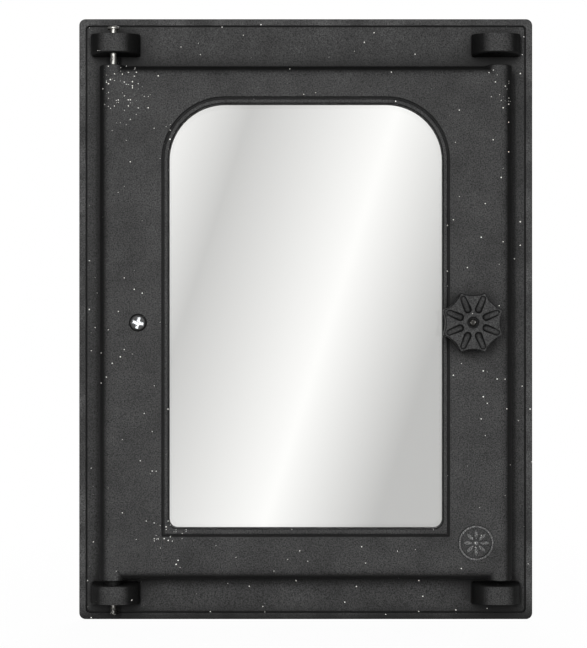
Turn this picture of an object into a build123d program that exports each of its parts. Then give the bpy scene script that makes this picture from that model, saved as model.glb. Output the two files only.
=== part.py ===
from build123d import *
import os
from math import cos, radians, sin, tan

# Glazed cast-iron stove door: a frame for the masonry, a leaf hung on two pins at
# its left side, and a turn-knob latch at its right side. All sizes are millimetres.
# X runs to the right and Z up. The wall face of the frame's flange is Y = 0 and the
# door looks toward -Y. "Out" is the distance in front of the wall face, so Y = -out.
# The origin is the centre of the flange's wall face.

# Frame flange
frame_width = 302.0
frame_height = 400.0
flange_thickness = 5.0
frame_corner_radius = 4.2
rim_width = 4.3
rim_raise = 0.5
rim_edge_radius = 0.8
rim_groove_width = 1.2
rim_groove_depth = 1.5
rim_groove_corner_radius = 2.0
opening_corner_radius = 4.0
side_land = 5.0
head_land = 8.2

# Frame neck, and the lip inside it that the latch catches behind
lip_width = 8.0
lip_thickness = 4.0
neck_wall = 5.0
neck_depth = 40.0
neck_corner_radius = 9.0
neck_root_radius = 2.0
anchor_hole_radius = 3.5
anchor_spacing = 220.0
anchor_setback = 28.0

# Hinge lugs and pins
hinge_inset = 24.5
hinge_reach = 12.5
lug_width = 32.0
lug_reach = 18.5
lug_height = 12.5
lug_inset = 12.9
lug_edge_radius = 1.6
pin_radius = 2.0
running_clearance = 0.05
pin_engagement = 30.0
pin_bore_spare = 2.0
top_pin_stand = 3.4
pin_head_radius = 3.9
pin_head_height = 1.9
bottom_pin_tail = 5.4
pin_tip_cut_degrees = 28.0
hinge_washer_thickness = 1.6
hinge_washer_count = 2
hinge_washer_radius = 6.0
hinge_washer_play = 0.2
top_gap = 8.4

# Door leaf
post_radius = 9.0
post_end_radius = 0.8
plate_thickness = 6.0
leaf_edge_radius = 9.3
rib_width = 10.0
rib_inset = 1.5
rib_gap = 1.5
rib_corner_radius = 5.0
window_stile = 37.3
window_head = 26.0
window_sill = 34.8
window_arch_radius = 36.5
window_foot_radius = 5.5
bead_width = 3.5
bead_sill_width = 4.3
bead_raise = 0.8
bead_edge_radius = 1.3
bead_foot_radius = 0.8
window_groove_width = 1.4
window_groove_depth = 1.5
boss_radius = 8.0
boss_height = 7.5
counterbore_radius = 5.9
counterbore_depth = 2.0

# Cast roundel on the leaf
roundel_inset = 15.5
roundel_rise = 25.2
roundel_radius = 11.7
roundel_ring_width = 1.9
roundel_raise = 0.7
petal_count = 8
petal_start = 2.4
petal_length = 6.2
petal_width = 2.2
petal_raise = 0.5
eye_radius = 1.4

# Glazing
glass_lap = 7.8
glass_thickness = 4.0
gasket_thickness = 3.0
gasket_setback = 1.5
clip_thickness = 1.5
clip_length = 14.0
clip_lap = 6.0
clip_step = 2.0
clip_foot = 12.0
clip_glass_gap = 1.2
clip_inset = 30.0
clip_boss_radius = 5.5
clip_bolt_offset = 9.0
clip_screw_radius = 1.9
clip_screw_head_radius = 3.5
clip_screw_head_height = 2.4
clip_screw_depth = 7.0
screw_hole_clearance = 0.1

# Rope seal
seal_diameter = 6.0
seal_gap = 0.3
seal_side_clearance = 0.2
seal_corner_radius = 8.0

# Plug screw in the spare knob hole
plug_inset = 17.1
plug_head_radius = 4.95
plug_head_height = 3.0
plug_shank_radius = 2.4
plug_tail = 2.0
cross_slot_length = 5.2
cross_slot_width = 1.3
cross_slot_depth = 1.6

# Knob and latch
knob_inset = 19.5
knob_tip_radius = 19.3
knob_dip_radius = 17.7
knob_tip_round = 2.8
knob_petals = 8
knob_thickness = 9.5
knob_edge_radius = 0.7
knob_hub_length = 7.5
knob_hub_radius = 7.5
knob_hub_flare = 10.5
knob_recess_radius = 3.8
knob_recess_depth = 2.6
scoop_start = 6.6
scoop_length = 13.2
scoop_width = 3.9
scoop_depth = 1.5
knob_washer_thickness = 1.5
knob_washer_radius = 8.0
spindle_radius = 3.5
spindle_nose_radius = 2.4
spindle_nose_dome = 1.2
spindle_square = 4.8
spindle_square_clearance = 0.05
latch_play = 0.1
spring_washer_radius = 7.0
spring_washer_thickness = 0.8
spring_washer_rise = 1.1
sleeve_wall = 1.6
tongue_clearance = 2.0
tongue_thickness = 4.0
tongue_hub_radius = 6.5
tongue_reach = 14.5
tongue_width = 9.6
tongue_ramp = 1.2

# Fasteners shared by the plug and the latch
nut_flats = 8.0
nut_height = 4.0
nut_count = 2
nut_edge_cut = 0.4
thread_radius = 2.4
thread_tail = 1.0
small_washer_radius = 5.0
small_washer_thickness = 1.0
washer_hole_clearance = 0.2

# Levels in front of the wall face, from the back of the frame to the leaf's face
hinge_out = flange_thickness + hinge_reach
leaf_face = hinge_out + post_radius
leaf_back = leaf_face - plate_thickness
plate_core = leaf_face - plate_thickness / 2
rib_back = flange_thickness + rib_gap
boss_back = leaf_back - boss_height
glass_front = leaf_back - gasket_thickness
glass_back = glass_front - glass_thickness
clip_boss_back = glass_back + clip_step
lip_back = flange_thickness - lip_thickness
tongue_front = lip_back - tongue_clearance
tongue_back = tongue_front - tongue_thickness
seal_out = flange_thickness + seal_gap + seal_diameter / 2

# Places across the door
hinge_x = frame_width / 2 - hinge_inset
lug_outer_z = frame_height / 2 - lug_inset
lug_inner_z = lug_outer_z - lug_height
leaf_top = lug_inner_z - top_gap
leaf_bottom = -lug_inner_z + hinge_washer_count * hinge_washer_thickness + hinge_washer_play
leaf_middle = (leaf_top + leaf_bottom) / 2
rib_outer = hinge_x - rib_inset
pocket_half_width = rib_outer - rib_width
opening_half_width = rib_outer - rib_width / 2 - side_land
opening_half_height = leaf_top - rib_width / 2 - head_land
window_half_width = hinge_x - window_stile
window_top = leaf_top - window_head
window_bottom = leaf_bottom + window_sill
glass_half_width = window_half_width + glass_lap
clip_bolt_x = glass_half_width + clip_bolt_offset
clip_levels = {"lower": window_bottom + clip_inset, "upper": window_top - clip_inset}
sides = {"left": -1, "right": 1}
knob_x = hinge_x - knob_inset
plug_x = plug_inset - hinge_x
knob_back = leaf_face + latch_play + knob_washer_thickness + knob_hub_length
knob_face = knob_back + knob_thickness


def out_plane(out):
    """A drawing plane that faces the viewer, at the given distance from the wall face."""
    return Plane.XZ.offset(out)


def slab(outline, back, front):
    """A flat piece between two levels, with the given outline."""
    return extrude(out_plane(back) * outline, front - back)


def rod(x, z, radius, back, front):
    """A round piece that points at the viewer."""
    return slab(Pos(x, z) * Circle(radius), back, front)


def washer(x, z, inner, outer, back, front):
    """A flat ring that faces the viewer."""
    return slab(Pos(x, z) * (Circle(outer) - Circle(inner)), back, front)


def upright(x, radius, low, high):
    """A round piece that stands on the hinge line at x."""
    return Pos(x, -hinge_out, low) * Cylinder(
        radius, high - low, align=(Align.CENTER, Align.CENTER, Align.MIN)
    )


def rounded_rectangle(width, height, radius):
    return fillet(Rectangle(width, height).vertices(), radius)


def panel(half_width, low, high, radius):
    """A rounded rectangle centred in X, between two heights."""
    return Pos(0, (low + high) / 2) * rounded_rectangle(2 * half_width, high - low, radius)


def hex_nut(x, z, back, front):
    blank = slab(Pos(x, z) * RegularPolygon(nut_flats / 2, 6, major_radius=False), back, front)
    ends = blank.faces().filter_by(Axis.Y).edges()
    return chamfer(ends, nut_edge_cut) - rod(x, z, thread_radius, back, front)


def cross_recess(x, z, floor, top):
    """The cross cut in a screw's head, between two levels."""
    bars = Rectangle(cross_slot_length, cross_slot_width) + Rectangle(
        cross_slot_width, cross_slot_length
    )
    return slab(Pos(x, z) * bars, floor, top)


def domed_head(x, z, radius, height, seat, facing):
    """A screw's round head that rises from its seat toward facing, 1 for the viewer."""
    blank = rod(x, z, radius, min(seat, seat + facing * height), max(seat, seat + facing * height))
    top = blank.edges().filter_by(GeomType.CIRCLE).sort_by(Axis.Y)[0 if facing > 0 else -1]
    return fillet(top, min(0.55 * height, 0.45 * radius))


# Outer frame


def flange():
    plate = slab(
        rounded_rectangle(frame_width, frame_height, frame_corner_radius),
        0,
        flange_thickness + rim_raise,
    )
    front_edges = plate.faces().sort_by(Axis.Y)[0].edges()
    plate = fillet(front_edges, rim_edge_radius)
    field_width = frame_width - 2 * rim_width
    field_height = frame_height - 2 * rim_width
    field = rounded_rectangle(field_width, field_height, rim_groove_corner_radius + rim_groove_width)
    inner = rounded_rectangle(
        field_width - 2 * rim_groove_width,
        field_height - 2 * rim_groove_width,
        rim_groove_corner_radius,
    )
    plate -= slab(field, flange_thickness, leaf_face)
    plate -= slab(field - inner, flange_thickness - rim_groove_depth, flange_thickness)
    return plate


def lug_outline():
    """The section of a lug, seen from above: flat flanks and a half-round nose."""
    half = lug_width / 2
    root = -flange_thickness / 2
    shoulder = -(flange_thickness + lug_reach - half)
    nose = -(flange_thickness + lug_reach)
    return make_face(
        [
            Line((-half, root), (-half, shoulder)),
            ThreePointArc((-half, shoulder), (0, nose), (half, shoulder)),
            Line((half, shoulder), (half, root)),
            Line((half, root), (-half, root)),
        ]
    )


def lug(side, end, bore):
    """One hinge lug. side is -1 at the left, end is -1 at the bottom."""
    low = lug_inner_z if end > 0 else -lug_outer_z
    block = extrude(Pos(side * hinge_x, 0, low) * lug_outline(), lug_height)
    block = fillet(block.faces().filter_by(Axis.Z).edges().filter_by(GeomType.CIRCLE), lug_edge_radius)
    return block, upright(side * hinge_x, bore, low, low + lug_height)


def neck():
    half_width = opening_half_width + lip_width
    half_height = opening_half_height + lip_width
    inner = rounded_rectangle(
        2 * half_width, 2 * half_height, max(neck_corner_radius - neck_wall, 1)
    )
    outer = rounded_rectangle(
        2 * (half_width + neck_wall), 2 * (half_height + neck_wall), neck_corner_radius
    )
    collar = slab(outer, -neck_depth, flange_thickness / 2)
    hollow = slab(inner, -neck_depth, lip_back)
    return collar, hollow


def anchor_holes():
    """Two holes through each side wall of the neck, for the anchor strips."""
    reach = opening_half_width + lip_width + 2 * neck_wall
    holes = []
    for z in (-anchor_spacing / 2, anchor_spacing / 2):
        at = Plane(origin=(-reach, anchor_setback, z), z_dir=(1, 0, 0))
        holes.append(extrude(at * Circle(anchor_hole_radius), 2 * reach))
    return holes


def outer_frame():
    collar, hollow = neck()
    body = flange() + collar
    root_edges = [
        edge
        for edge in body.faces().filter_by(Axis.Y).filter_by(lambda f: abs(f.center().Y) < 0.01).edges()
        if abs(edge.center().X) < frame_width / 2 - 1 and abs(edge.center().Z) < frame_height / 2 - 1
    ]
    body = fillet(root_edges, neck_root_radius)
    body -= hollow
    opening = rounded_rectangle(
        2 * opening_half_width, 2 * opening_half_height, opening_corner_radius
    )
    body -= slab(opening, 0, flange_thickness)
    bores = []
    for side in (-1, 1):
        for end in (-1, 1):
            tight = side < 0 and end > 0
            block, bore = lug(side, end, pin_radius if tight else pin_radius + running_clearance)
            body += block
            bores.append(bore)
    return body - bores - anchor_holes()


# Hinge pins and washers


def hinge_pin_top():
    """A round-headed pin, driven into the upper lug so that its head stands clear."""
    seat = lug_outer_z + top_pin_stand
    shank = upright(-hinge_x, pin_radius, leaf_top - pin_engagement, seat)
    head = upright(-hinge_x, pin_head_radius, seat, seat + pin_head_height)
    top = head.edges().filter_by(GeomType.CIRCLE).sort_by(Axis.Z)[-1]
    return shank + fillet(top, 0.6 * pin_head_height)


def hinge_pin_bottom():
    """A headless pin, tight in the leaf's post and cut off askew below the lower lug."""
    end = -lug_outer_z - bottom_pin_tail
    shank = upright(-hinge_x, pin_radius, end, leaf_bottom + pin_engagement)
    reach = 4 * pin_radius
    cutter = Pos(-hinge_x, -hinge_out, end) * Rot(0, pin_tip_cut_degrees, 0) * Box(
        2 * reach, reach, reach, align=(Align.CENTER, Align.CENTER, Align.MAX)
    )
    return shank - cutter


def hinge_washers():
    rings = []
    for index in range(hinge_washer_count):
        low = -lug_inner_z + index * hinge_washer_thickness
        high = low + hinge_washer_thickness
        ring = upright(-hinge_x, hinge_washer_radius, low, high)
        rings.append(ring - upright(-hinge_x, pin_radius + washer_hole_clearance, low, high))
    return Compound(rings)


# Door leaf


def window_outline(grow, sill_grow, foot_radius):
    """The arched window, grown by one amount round its sides and head and another at its sill."""
    shape = Pos(0, (window_top + grow + window_bottom - sill_grow) / 2) * Rectangle(
        2 * (window_half_width + grow), window_top + grow - window_bottom + sill_grow
    )
    shape = fillet(shape.vertices().sort_by(Axis.Y)[-2:], window_arch_radius + grow)
    return fillet(shape.vertices().sort_by(Axis.Y)[:2], foot_radius)


def leaf_shell():
    """The plate with its turned-back edges, and the two round posts at its sides."""
    section = Pos(-(rib_back + leaf_face) / 2, leaf_middle) * Rectangle(
        leaf_face - rib_back, leaf_top - leaf_bottom
    )
    section = fillet(section.vertices().sort_by(Axis.X)[:2], leaf_edge_radius)
    body = extrude(Plane.YZ * section, hinge_x, both=True)
    for side in (-1, 1):
        spare = Pos(side * (rib_outer + hinge_x) / 2, -(rib_back + hinge_out) / 2, leaf_middle) * Box(
            rib_inset, hinge_out - rib_back, leaf_top - leaf_bottom
        )
        body -= spare
    body -= slab(
        panel(pocket_half_width, leaf_bottom + rib_width, leaf_top - rib_width, rib_corner_radius),
        0,
        leaf_back,
    )
    for side in (-1, 1):
        post = upright(side * hinge_x, post_radius, leaf_bottom, leaf_top)
        body += fillet(post.edges().filter_by(GeomType.CIRCLE), post_end_radius)
    return body


def window_bead():
    """The rounded bead that stands round the window."""
    bead = slab(
        window_outline(bead_width, bead_sill_width, bead_foot_radius)
        - window_outline(0, 0, window_foot_radius),
        plate_core,
        leaf_face + bead_raise,
    )
    return fillet(bead.faces().sort_by(Axis.Y)[0].edges(), bead_edge_radius)


def window_groove():
    outer = window_outline(
        bead_width + window_groove_width, bead_sill_width + window_groove_width, bead_foot_radius
    )
    inner = window_outline(bead_width, bead_sill_width, bead_foot_radius)
    return slab(outer - inner, leaf_face - window_groove_depth, leaf_face)


def seal_groove():
    """The channel in the back of the rib that holds the rope."""
    side = rib_width / 2 - seal_diameter / 2 - seal_side_clearance
    outer = panel(
        rib_outer - side,
        leaf_bottom + side,
        leaf_top - side,
        seal_corner_radius + seal_diameter / 2,
    )
    lap = rib_width - side
    inner = panel(
        pocket_half_width + side,
        leaf_bottom + lap,
        leaf_top - lap,
        seal_corner_radius - seal_diameter / 2,
    )
    return slab(outer - inner, rib_back, seal_out + seal_diameter / 2 + seal_side_clearance)


def petal(angle, start, length, width):
    """A leaf-shaped outline of two arcs that points away from the centre."""
    lens = make_face(
        [
            ThreePointArc((start, 0), (start + length / 2, width / 2), (start + length, 0)),
            ThreePointArc((start + length, 0), (start + length / 2, -width / 2), (start, 0)),
        ]
    )
    return Rot(0, 0, angle) * lens


def roundel():
    """A plain ring round a rosette of leaf shapes."""
    x = hinge_x - roundel_inset
    z = leaf_bottom + roundel_rise
    ring = washer(
        x, z, roundel_radius - roundel_ring_width, roundel_radius, plate_core, leaf_face + roundel_raise
    )
    ring = fillet(ring.faces().sort_by(Axis.Y)[0].edges(), 0.35 * roundel_ring_width)
    shapes = Circle(eye_radius)
    for index in range(petal_count):
        shapes += petal(index * 360 / petal_count, petal_start, petal_length, petal_width)
    return ring + slab(Pos(x, z) * shapes, plate_core, leaf_face + petal_raise)


def door_leaf():
    body = leaf_shell() - window_groove() + window_bead() + roundel()
    body -= slab(window_outline(0, 0, window_foot_radius), rib_back, leaf_face)
    body -= seal_groove()
    for x in (knob_x, plug_x):
        body += rod(x, leaf_middle, boss_radius, boss_back, leaf_back)
        body -= rod(x, leaf_middle, spindle_radius + running_clearance, boss_back, leaf_face)
        body -= rod(x, leaf_middle, counterbore_radius, leaf_face - counterbore_depth, leaf_face)
    hole_front = clip_boss_back + clip_screw_depth + 1
    for x in (-clip_bolt_x, clip_bolt_x):
        for z in clip_levels.values():
            body += rod(x, z, clip_boss_radius, clip_boss_back, leaf_back)
            body -= rod(x, z, clip_screw_radius + screw_hole_clearance, clip_boss_back, hole_front)
    depth = pin_engagement + pin_bore_spare
    for side in (-1, 1):
        low_bore = pin_radius if side < 0 else pin_radius + running_clearance
        body -= upright(side * hinge_x, low_bore, leaf_bottom, leaf_bottom + depth)
        body -= upright(side * hinge_x, pin_radius + running_clearance, leaf_top - depth, leaf_top)
    return body


# Glazing


def glass_pane():
    return slab(
        panel(glass_half_width, window_bottom - glass_lap, window_top + glass_lap, 2),
        glass_back,
        glass_front,
    )


def glass_gasket():
    outer = panel(glass_half_width, window_bottom - glass_lap, window_top + glass_lap, 2)
    inner = window_outline(gasket_setback, gasket_setback, window_foot_radius)
    return slab(outer - inner, glass_front, leaf_back)


def glass_clip(side, z):
    """A cranked steel strip: its foot sits on a boss and its tip on the glass."""
    edge = glass_half_width + clip_glass_gap
    heel = clip_bolt_x + clip_foot / 2
    tip = glass_half_width - clip_lap
    foot_back = clip_boss_back - clip_thickness
    tip_back = glass_back - clip_thickness
    lean = clip_thickness * tan(radians(22.5))
    points = [
        (heel, clip_boss_back),
        (edge + clip_step, clip_boss_back),
        (edge, glass_back),
        (tip, glass_back),
        (tip, tip_back),
        (edge + lean, tip_back),
        (edge + clip_step + lean, foot_back),
        (heel, foot_back),
    ]
    outline = make_face(Polyline([(side * x, -out) for x, out in points], close=True))
    strip = extrude(Pos(0, 0, z) * outline, clip_length / 2, both=True)
    hole = rod(
        side * clip_bolt_x, z, clip_screw_radius + washer_hole_clearance, foot_back, clip_boss_back
    )
    return strip - hole


def clip_screws():
    screws = []
    seat = clip_boss_back - clip_thickness
    for x in (-clip_bolt_x, clip_bolt_x):
        for z in clip_levels.values():
            head = domed_head(x, z, clip_screw_head_radius, clip_screw_head_height, seat, -1)
            shank = rod(x, z, clip_screw_radius, seat, clip_boss_back + clip_screw_depth)
            top = seat - clip_screw_head_height
            screws.append(head + shank - cross_recess(x, z, top, top + cross_slot_depth))
    return Compound(screws)


def door_seal():
    """The rope: a round section carried along the middle of the rib."""
    inset = rib_width / 2
    path = out_plane(seal_out) * panel(
        pocket_half_width + inset, leaf_bottom + inset, leaf_top - inset, seal_corner_radius
    ).face().outer_wire()
    section = Plane(origin=path @ 0, z_dir=path % 0) * Circle(seal_diameter / 2)
    return sweep(section, path=path)


# Plug of the spare knob hole


def plug_screw():
    seat = leaf_face - counterbore_depth
    top = seat + plug_head_height
    end = boss_back - small_washer_thickness - nut_height - plug_tail
    head = domed_head(plug_x, leaf_middle, plug_head_radius, plug_head_height, seat, 1)
    shank = rod(plug_x, leaf_middle, plug_shank_radius, end, seat)
    return head + shank - cross_recess(plug_x, leaf_middle, top - cross_slot_depth, top)


def plug_washer():
    return washer(
        plug_x,
        leaf_middle,
        plug_shank_radius + washer_hole_clearance,
        small_washer_radius,
        boss_back - small_washer_thickness,
        boss_back,
    )


def plug_nut():
    front = boss_back - small_washer_thickness
    return hex_nut(plug_x, leaf_middle, front - nut_height, front)


# Knob and latch


def knob_outline():
    """Rounded tips joined by shallow hollows, repeated round the knob."""
    step = radians(360 / knob_petals)

    def at(radius, turns):
        return (radius * cos(turns * step), radius * sin(turns * step))

    hollows = [
        ThreePointArc(
            at(knob_tip_radius, index - 0.5),
            at(knob_dip_radius, index),
            at(knob_tip_radius, index + 0.5),
        )
        for index in range(knob_petals)
    ]
    outline = make_face(hollows)
    return fillet(outline.vertices(), knob_tip_round)


def knob_scoops():
    """Long round-bottomed scoops, one toward each tip, cut from the knob's face."""
    groove = (scoop_width**2 / 4 + scoop_depth**2) / (2 * scoop_depth)
    sweep_radius = (scoop_length**2 / 4 + scoop_depth**2) / (2 * scoop_depth)
    ring = Rot(90, 0, 0) * Torus(sweep_radius - groove, groove)
    scoop = Pos(scoop_start + scoop_length / 2, 0, sweep_radius - scoop_depth) * ring
    face = out_plane(knob_face) * Pos(knob_x, leaf_middle)
    return [
        face * Rot(0, 0, (index + 0.5) * 360 / knob_petals) * scoop for index in range(knob_petals)
    ]


def knob():
    body = slab(Pos(knob_x, leaf_middle) * knob_outline(), knob_back, knob_face)
    body = fillet(body.faces().sort_by(Axis.Y)[0].edges(), knob_edge_radius)
    hub_back = knob_back - knob_hub_length
    hub = out_plane(hub_back) * Pos(knob_x, leaf_middle, knob_hub_length / 2) * Cone(
        knob_hub_radius, knob_hub_flare, knob_hub_length
    )
    body += hub
    body -= knob_scoops()
    body -= rod(knob_x, leaf_middle, spindle_radius, hub_back, knob_back)
    body -= rod(knob_x, leaf_middle, spindle_nose_radius, knob_back, knob_face)
    return body - rod(
        knob_x, leaf_middle, knob_recess_radius, knob_face - knob_recess_depth, knob_face
    )


def knob_washer():
    back = leaf_face + latch_play
    return washer(
        knob_x,
        leaf_middle,
        spindle_radius + washer_hole_clearance,
        knob_washer_radius,
        back,
        back + knob_washer_thickness,
    )


def latch_spindle():
    """One turned bar: a domed nose in the knob, a plain journal, a square and a thread."""
    nose_end = knob_face - knob_recess_depth + 2 * spindle_nose_dome
    end = tongue_back - small_washer_thickness - nut_count * nut_height - thread_tail
    nose = rod(knob_x, leaf_middle, spindle_nose_radius, knob_back, nose_end)
    nose = fillet(nose.edges().filter_by(GeomType.CIRCLE).sort_by(Axis.Y)[0], spindle_nose_dome)
    journal = rod(knob_x, leaf_middle, spindle_radius, tongue_front, knob_back)
    square = slab(
        Pos(knob_x, leaf_middle) * Rectangle(spindle_square, spindle_square),
        tongue_back,
        tongue_front,
    )
    thread = rod(knob_x, leaf_middle, thread_radius, end, tongue_back)
    return nose + journal + square + thread


def spring_washer():
    """A coned washer that keeps the knob pulled against the leaf."""
    front = boss_back - latch_play
    inner = spindle_radius + washer_hole_clearance
    section = Polyline(
        [
            (inner, 0),
            (spring_washer_radius, spring_washer_rise),
            (spring_washer_radius, spring_washer_rise + spring_washer_thickness),
            (inner, spring_washer_thickness),
        ],
        close=True,
    )
    level = front - spring_washer_rise - spring_washer_thickness
    ring = revolve(Plane.XZ * make_face(section), Axis.Z, 360)
    return out_plane(level) * Pos(knob_x, leaf_middle) * ring


def spacer_sleeve():
    inner = spindle_radius + washer_hole_clearance
    front = boss_back - latch_play - spring_washer_rise - spring_washer_thickness
    return washer(knob_x, leaf_middle, inner, inner + sleeve_wall, tongue_front, front)


def latch_tongue():
    """The catch, hanging down at rest: a hub with a square hole and a rounded arm."""
    arm_radius = tongue_width / 2
    arm_centre = tongue_reach - arm_radius
    shape = Circle(tongue_hub_radius) + Pos(0, -arm_centre) * Circle(arm_radius)
    shape += Pos(0, -arm_centre / 2) * Rectangle(tongue_width, arm_centre)
    hole = spindle_square + 2 * spindle_square_clearance
    shape -= Rectangle(hole, hole)
    body = slab(Pos(knob_x, leaf_middle) * shape, tongue_back, tongue_front)
    tip = leaf_middle - tongue_reach
    front = -tongue_front
    ramp = Polyline(
        [
            (front - 1, tip - 1),
            (front + tongue_ramp, tip - 1),
            (front + tongue_ramp, tip),
            (front, tip + 3 * tongue_ramp),
            (front - 1, tip + 3 * tongue_ramp),
        ],
        close=True,
    )
    return body - extrude(
        Plane.YZ.offset(knob_x) * make_face(ramp), tongue_width, both=True
    )


def tongue_washer():
    return washer(
        knob_x,
        leaf_middle,
        thread_radius + washer_hole_clearance,
        small_washer_radius,
        tongue_back - small_washer_thickness,
        tongue_back,
    )


def latch_nuts():
    front = tongue_back - small_washer_thickness
    nuts = []
    for index in range(nut_count):
        level = front - index * nut_height
        nuts.append(hex_nut(knob_x, leaf_middle, level - nut_height, level))
    return Compound(nuts)


def main():
    pieces = {
        "outer_frame": outer_frame(),
        "hinge_pin_top": hinge_pin_top(),
        "hinge_pin_bottom": hinge_pin_bottom(),
        "hinge_washers": hinge_washers(),
        "door_leaf": door_leaf(),
        "glass_pane": glass_pane(),
        "glass_gasket": glass_gasket(),
        "clip_screws": clip_screws(),
        "door_seal": door_seal(),
        "plug_screw": plug_screw(),
        "plug_washer": plug_washer(),
        "plug_nut": plug_nut(),
        "knob": knob(),
        "knob_washer": knob_washer(),
        "latch_spindle": latch_spindle(),
        "spring_washer": spring_washer(),
        "spacer_sleeve": spacer_sleeve(),
        "latch_tongue": latch_tongue(),
        "tongue_washer": tongue_washer(),
        "latch_nuts": latch_nuts(),
    }
    for level, z in clip_levels.items():
        for side, sign in sides.items():
            pieces[f"glass_clip_{level}_{side}"] = glass_clip(sign, z)
    os.makedirs("parts", exist_ok=True)
    for name, piece in pieces.items():
        export_step(piece, f"parts/{name}.step")


main()
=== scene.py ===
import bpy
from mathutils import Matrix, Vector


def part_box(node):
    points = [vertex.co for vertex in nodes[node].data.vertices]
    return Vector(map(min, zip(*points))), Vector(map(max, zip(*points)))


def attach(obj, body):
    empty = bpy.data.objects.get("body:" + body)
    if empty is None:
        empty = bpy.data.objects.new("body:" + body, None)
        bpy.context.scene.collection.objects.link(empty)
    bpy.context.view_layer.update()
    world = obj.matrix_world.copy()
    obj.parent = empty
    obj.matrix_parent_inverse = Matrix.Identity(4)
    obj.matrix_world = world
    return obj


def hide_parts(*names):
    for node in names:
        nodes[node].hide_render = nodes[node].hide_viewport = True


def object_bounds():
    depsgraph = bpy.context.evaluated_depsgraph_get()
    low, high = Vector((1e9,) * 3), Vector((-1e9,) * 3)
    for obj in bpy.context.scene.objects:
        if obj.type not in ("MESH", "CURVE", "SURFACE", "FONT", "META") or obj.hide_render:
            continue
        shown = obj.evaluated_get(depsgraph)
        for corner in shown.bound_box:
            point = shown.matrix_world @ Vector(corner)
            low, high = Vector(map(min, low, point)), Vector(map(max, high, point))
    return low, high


bl_info = {
    "name": "Stove Door",
    "version": (1, 0, 0),
    "blender": (4, 5, 0),
    "location": "3D View > Sidebar > Stove Door",
    "description": "Finishes, seals and studio for a glazed cast-iron stove door",
    "category": "Object",
}

import math

import bpy
from bpy.props import FloatProperty, FloatVectorProperty, PointerProperty
from bpy.types import Operator, Panel, PropertyGroup
from mathutils import Matrix, Vector

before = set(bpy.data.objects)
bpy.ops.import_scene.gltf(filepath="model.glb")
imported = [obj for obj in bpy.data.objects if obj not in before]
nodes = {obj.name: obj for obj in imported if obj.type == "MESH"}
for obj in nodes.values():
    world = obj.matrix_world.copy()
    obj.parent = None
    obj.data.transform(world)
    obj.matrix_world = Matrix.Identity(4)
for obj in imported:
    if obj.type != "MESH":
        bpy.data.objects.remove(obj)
cad_box = [list(corner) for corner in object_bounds()]
MM = 0.001

# The four lugs of the CAD frame, which are cast in one with it and have no node of their own
lug_line = 126.5 * MM  # from the middle of the frame to the axis of each pair of lugs
lug_end = 187.1 * MM  # from the middle of the frame up to the outer end of a lug


def linear(hex_colour):
    """An sRGB hex colour as linear red, green, blue and alpha."""
    parts = [int(hex_colour[i : i + 2], 16) / 255 for i in (1, 3, 5)]
    return (*[c / 12.92 if c <= 0.04045 else ((c + 0.055) / 1.055) ** 2.4 for c in parts], 1.0)


def size(name, description, default_mm):
    """A length that a user may set. The interface keeps it in metres."""
    return FloatProperty(
        name=name,
        description=description,
        default=default_mm * MM,
        min=0.0,
        precision=5,
        subtype="DISTANCE",
        unit="LENGTH",
    )


def colour(name, description, default_hex):
    return FloatVectorProperty(
        name=name,
        description=description,
        default=linear(default_hex),
        size=4,
        min=0.0,
        max=1.0,
        subtype="COLOR",
    )


# Settings


class StovePaintSettings(PropertyGroup):
    # Faces that look straight out get this colour; the flank shade below paints turned-away faces
    # darker
    field: colour("Field", "Matt black paint on faces that look straight out, lighter than the painted flank shade", "#303030")
    # Painted shade: edges and flanks that turn away from the front are darkened to this colour
    flank_shade: colour("Flank shade", "Painted shade on edges and flanks that turn away from the front", "#090909")
    # Painted shade: grooves, corners and the flange beside the leaf darken to this colour through
    # an occlusion node
    corner_shade: colour("Corner shade", "Painted shade in grooves and corners", "#060606")
    # Painted highlight: the flange's raised rim is lightened toward this colour in patches
    rim_highlight: colour("Rim highlight", "Painted highlight on the flange's raised rim, in patches", "#3c3c3c")
    # Painted highlight: the roundel's raised ring and leaves are lightened toward this colour
    raised: colour("Raised cast", "Painted highlight on the roundel's ring and leaves", "#6a6a6a")
    speck: colour("Specks", "Mineral dust and chips in the paint", "#e6e4e0")
    head: colour("Screw head", "Black paint on the plug screw's head", "#1a1a1a")
    head_worn: colour("Worn screw head", "The same paint where it has greyed", "#2c2c2c")
    grit: size("Grit", "Width of the grains that the sand mould left in the iron", 0.8)
    grit_height: size("Grit height", "Height of those grains", 0.13)
    speck_spacing: size("Speck spacing", "Distance between places where a speck may lie", 1.3)
    speck_width: size("Speck width", "Width of the largest speck", 0.9)
    # Reach of the occlusion that paints the corner shade
    shade_occlusion: size("Shelter", "How far from a neighbour the painted corner shade reaches", 20.0)
    rim: size("Rim", "Width of the flange's raised border", 4.3)
    roundel_inset: size("Roundel inset", "From the leaf's right side to the roundel's middle", 24.5)
    roundel_rise: size("Roundel rise", "From the leaf's foot to the roundel's middle", 25.2)
    roundel_reach: size("Roundel reach", "From that middle to just past the ring", 12.5)


class StoveMetalSettings(PropertyGroup):
    turned: colour("Turned steel", "Bright steel of the hinge pins and the spindle", "#a3a29e")
    oxide: colour("Oxide", "Dark skin left on steel where nothing rubs it", "#32312f")
    zinc: colour("Zinc plate", "Zinc plating on clips, screws and nuts", "#b9bcbf")
    zinc_dull: colour("Dull zinc", "The same plating where it has dulled", "#7d7f80")
    plate: colour("Cut plate", "Plain steel plate of the latch tongue", "#8a8782")
    blacking: colour("Blacking", "Blackened steel of the hinge washers", "#1c1c1c")
    blacking_dark: colour("Dark blacking", "The same steel where the skin is thick", "#0b0b0b")
    turning_mark: size("Turning mark", "Distance between the lathe tool's marks", 0.9)
    spangle: size("Spangle", "Width of the crystals in the zinc", 1.6)


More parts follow.
